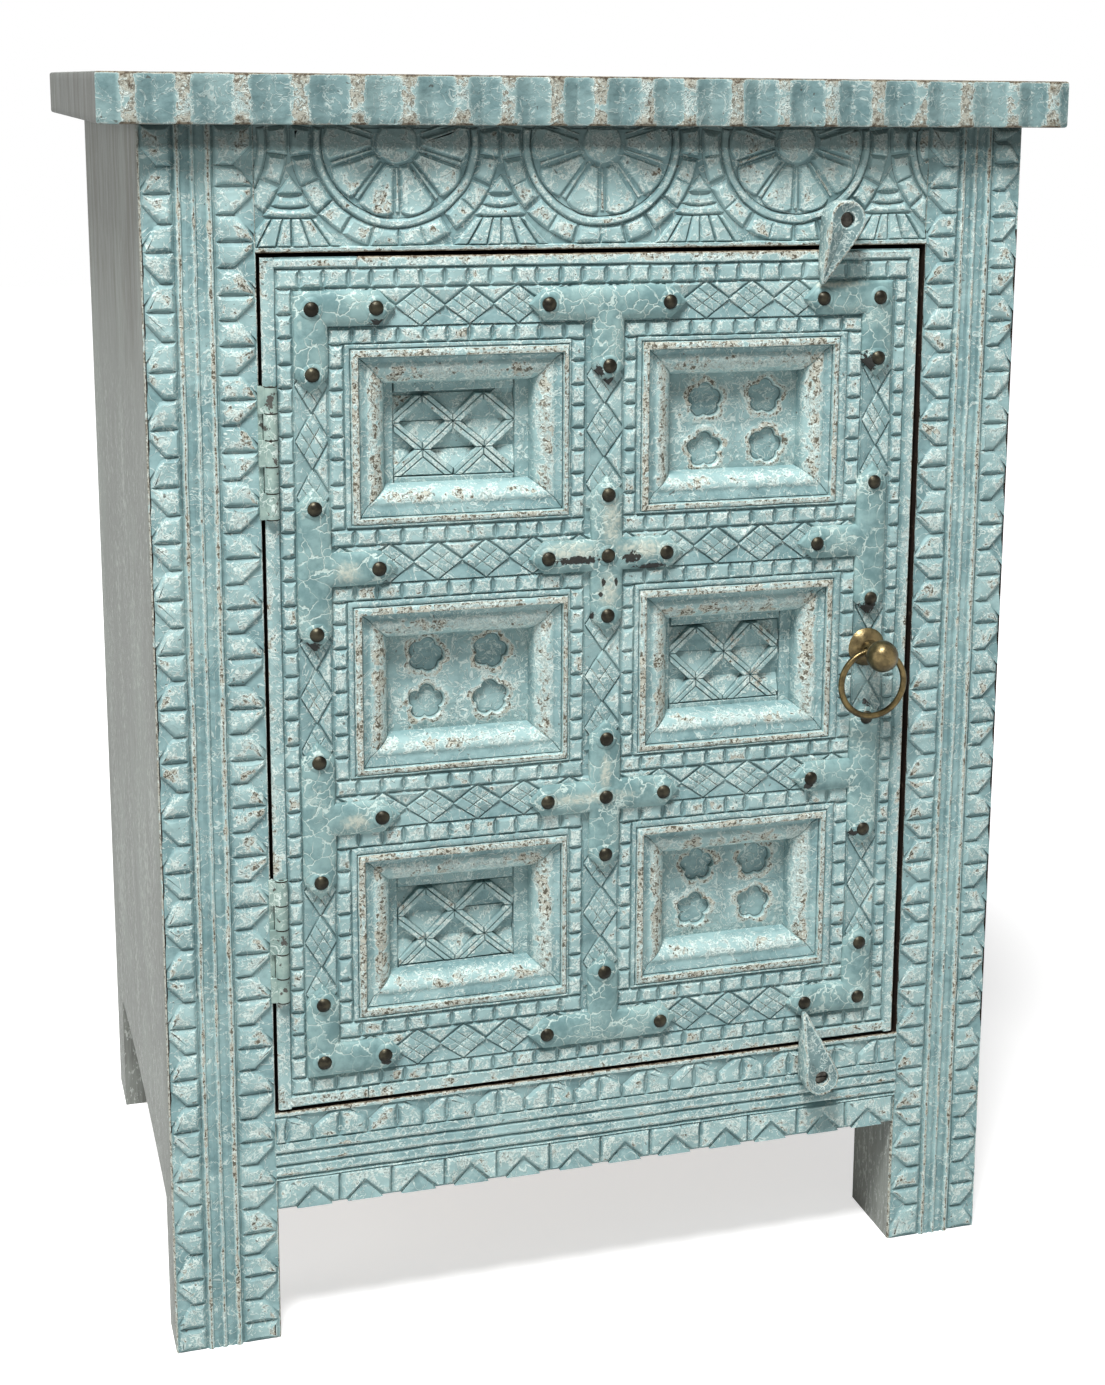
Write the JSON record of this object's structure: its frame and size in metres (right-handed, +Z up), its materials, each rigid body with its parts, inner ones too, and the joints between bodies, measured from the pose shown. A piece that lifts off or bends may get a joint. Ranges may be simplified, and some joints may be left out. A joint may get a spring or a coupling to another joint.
{
  "type": "carved bedside cabinet",
  "caption": "Small one-door bedside cabinet of chip-carved, distressed turquoise wood, with a coffered door, nailed domed straps, wooden turn buttons and a brass ring pull.",
  "frame": {"origin": "under the middle of the whole cabinet, on the floor", "axes": "+Z up, +X to the right seen from the front, +Y from the front to the back"},
  "size_m": [0.5, 0.3766, 0.66],
  "materials": {
    "front_paint": "distressed turquoise paint over carved wood",
    "side_paint": "grey-green paint, brushed out along the grain",
    "raw_wood": "bare, aged",
    "strap_paint": "crackled turquoise paint",
    "nail_bronze": "dark patina",
    "hinge_paint": "chipped paint",
    "screw_steel": "dull",
    "aged_brass": "aged, dark in the hollows"
  },
  "bodies": {
    "carcass": {"hinge_upper_frame_leaf": "hinge_paint", "hinge_upper_pin": "screw_steel", "hinge_lower_frame_leaf": "hinge_paint", "hinge_lower_pin": "screw_steel", "hinge_frame_screws": "screw_steel", "button_screws": "screw_steel", "frieze_rail": "front_paint", "apron_rail": "front_paint", "stile_left": "front_paint", "corner_post_left": "side_paint", "stile_right": "front_paint", "corner_post_right": "side_paint", "back_panel": "raw_wood", "back_rail_top": "raw_wood", "back_rail_bottom": "raw_wood", "leg_back_left": "side_paint", "side_panel_left": "side_paint", "leg_back_right": "side_paint", "side_panel_right": "side_paint", "bottom_board": "raw_wood", "shelf": "raw_wood", "bottom_cleats": "raw_wood", "shelf_cleats": "raw_wood", "top_slab": "side_paint"},
    "door": {"hinge_upper_door_leaf": "hinge_paint", "hinge_lower_door_leaf": "hinge_paint", "hinge_door_screws": "screw_steel", "straps_corner": "strap_paint", "straps_tee_middle": "strap_paint", "straps_tee_side": "strap_paint", "straps_cross": "strap_paint", "strap_nails": "nail_bronze", "pull_knob": "aged_brass", "pull_rosette": "aged_brass", "door_stile_hinge": "front_paint", "door_stile_lock": "front_paint", "door_rail_bottom": "front_paint", "door_rail_lower": "front_paint", "door_rail_upper": "front_paint", "door_rail_top": "front_paint", "door_muntin_bottom": "front_paint", "door_muntin_middle": "front_paint", "door_muntin_top": "front_paint", "door_panel_lower_left": "front_paint", "door_moulding_lower_left": "front_paint", "door_panel_lower_right": "front_paint", "door_moulding_lower_right": "front_paint", "door_panel_middle_left": "front_paint", "door_moulding_middle_left": "front_paint", "door_panel_middle_right": "front_paint", "door_moulding_middle_right": "front_paint", "door_panel_upper_left": "front_paint", "door_moulding_upper_left": "front_paint", "door_panel_upper_right": "front_paint", "door_moulding_upper_right": "front_paint"},
    "ring": {"pull_ring": "aged_brass"},
    "button_upper": {"turn_button_upper": "front_paint"},
    "button_lower": {"turn_button_lower": "front_paint"}
  },
  "joints": [
    {"name": "door_swing", "type": "hinge", "parent": "carcass", "child": "door", "pos_m": [-0.1712, -0.1592, 0.35075], "axis": [0, 0, -1], "range_deg": [0, 150]},
    {"name": "ring_swing", "type": "hinge", "parent": "door", "child": "ring", "pos_m": [0.1498, -0.1682, 0.3573], "axis": [-1, 0, 0], "range_deg": [0, 175]},
    {"name": "button_upper_turn", "type": "hinge", "parent": "carcass", "child": "button_upper", "pos_m": [0.1255, -0.1591, 0.589], "axis": [0, -1, 0], "continuous": true},
    {"name": "button_lower_turn", "type": "hinge", "parent": "carcass", "child": "button_lower", "pos_m": [0.1255, -0.1591, 0.114], "axis": [0, -1, 0], "continuous": true}
  ]
}
